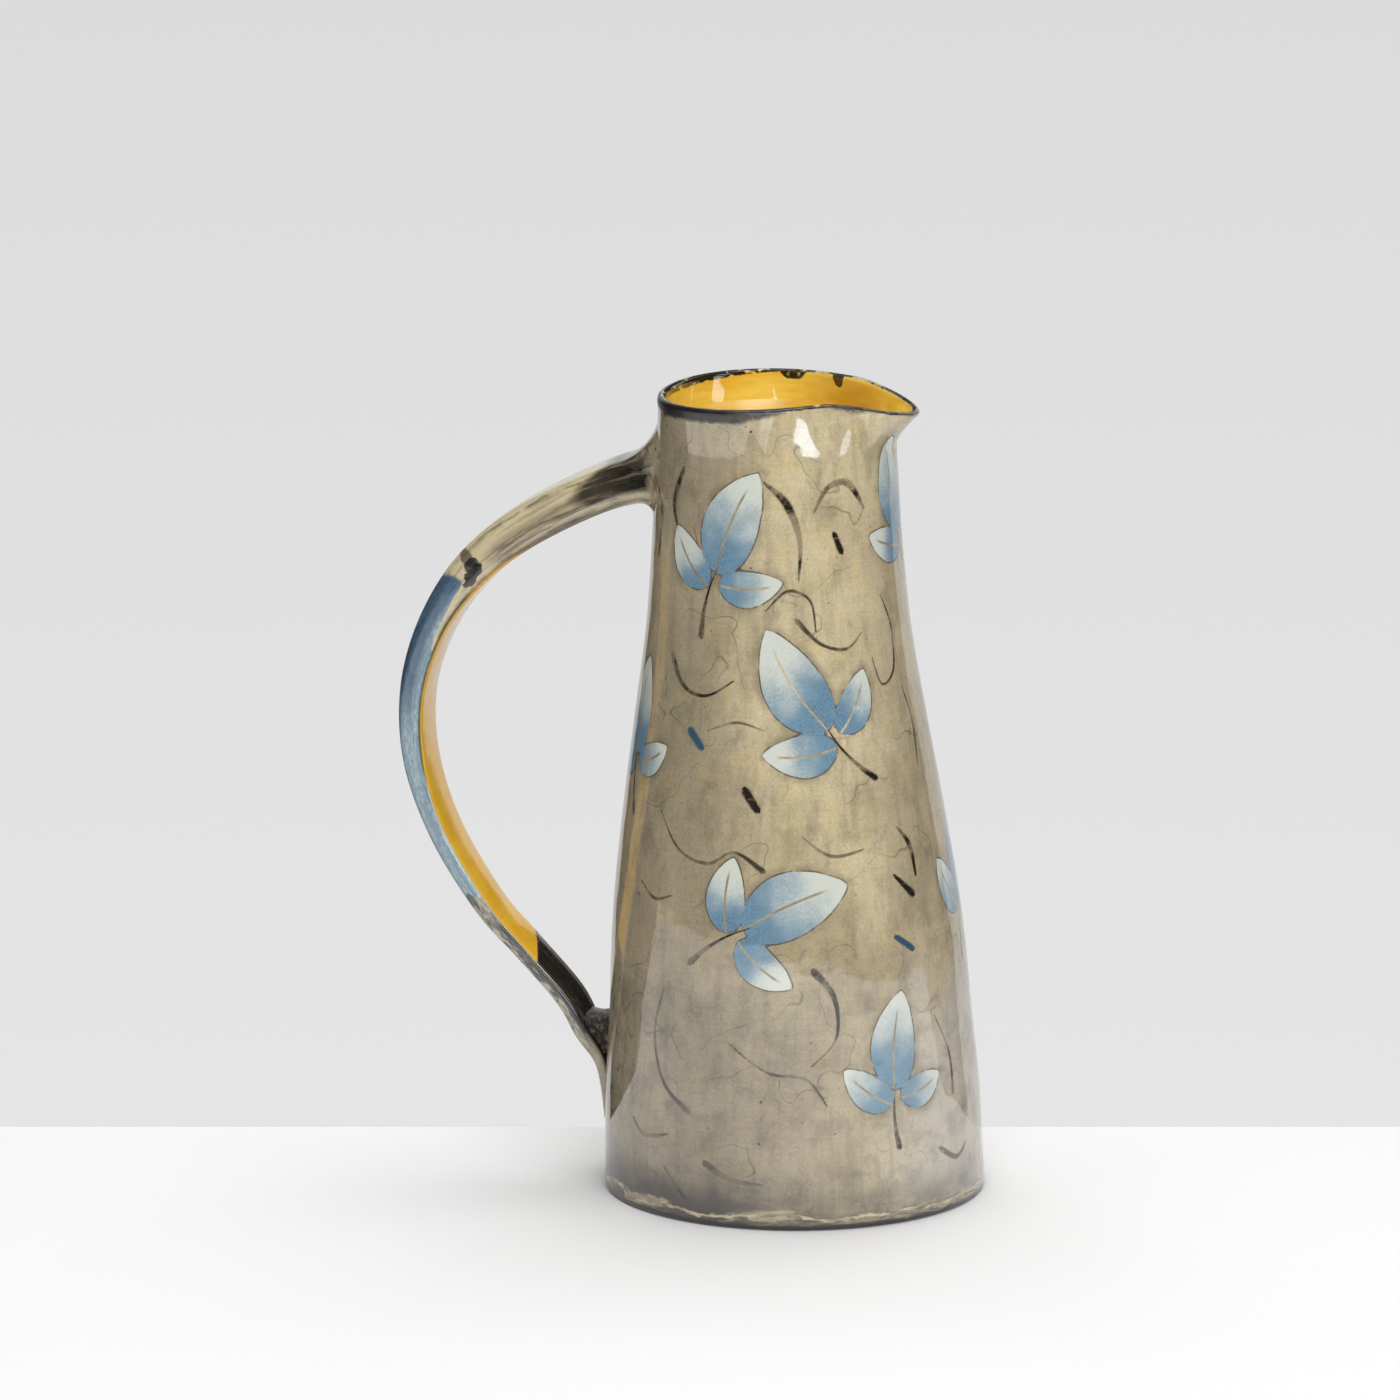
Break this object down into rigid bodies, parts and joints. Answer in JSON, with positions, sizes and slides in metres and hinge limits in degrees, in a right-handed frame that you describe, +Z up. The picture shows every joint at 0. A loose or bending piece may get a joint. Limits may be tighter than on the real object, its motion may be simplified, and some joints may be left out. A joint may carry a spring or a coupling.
{
  "type": "ceramic jug",
  "caption": "Tall handmade ceramic jug: tapering leaning body, pinched pouring lip, bowed strap handle and a bright glazed inside.",
  "frame": {"origin": "middle of the foot's flat underside, on the surface that the jug stands on", "axes": "+Z up, +X toward the pouring lip, so the handle is at -X"},
  "size_m": [0.1781, 0.115, 0.2442],
  "materials": {
    "khaki_glaze": "gloss",
    "foot_glaze": "gloss",
    "fired_clay": "matte",
    "handle_glaze": "gloss",
    "dark_glaze": "gloss",
    "yellow_glaze": "gloss"
  },
  "bodies": {
    "root": {"wall": "khaki_glaze", "base": "foot_glaze", "base_coil": "fired_clay", "lip_spout": "khaki_glaze", "handle_strap": "handle_glaze", "handle_top_joint": "khaki_glaze", "handle_bottom_joint": "dark_glaze", "liner_glaze": "yellow_glaze"}
  },
  "joints": []
}
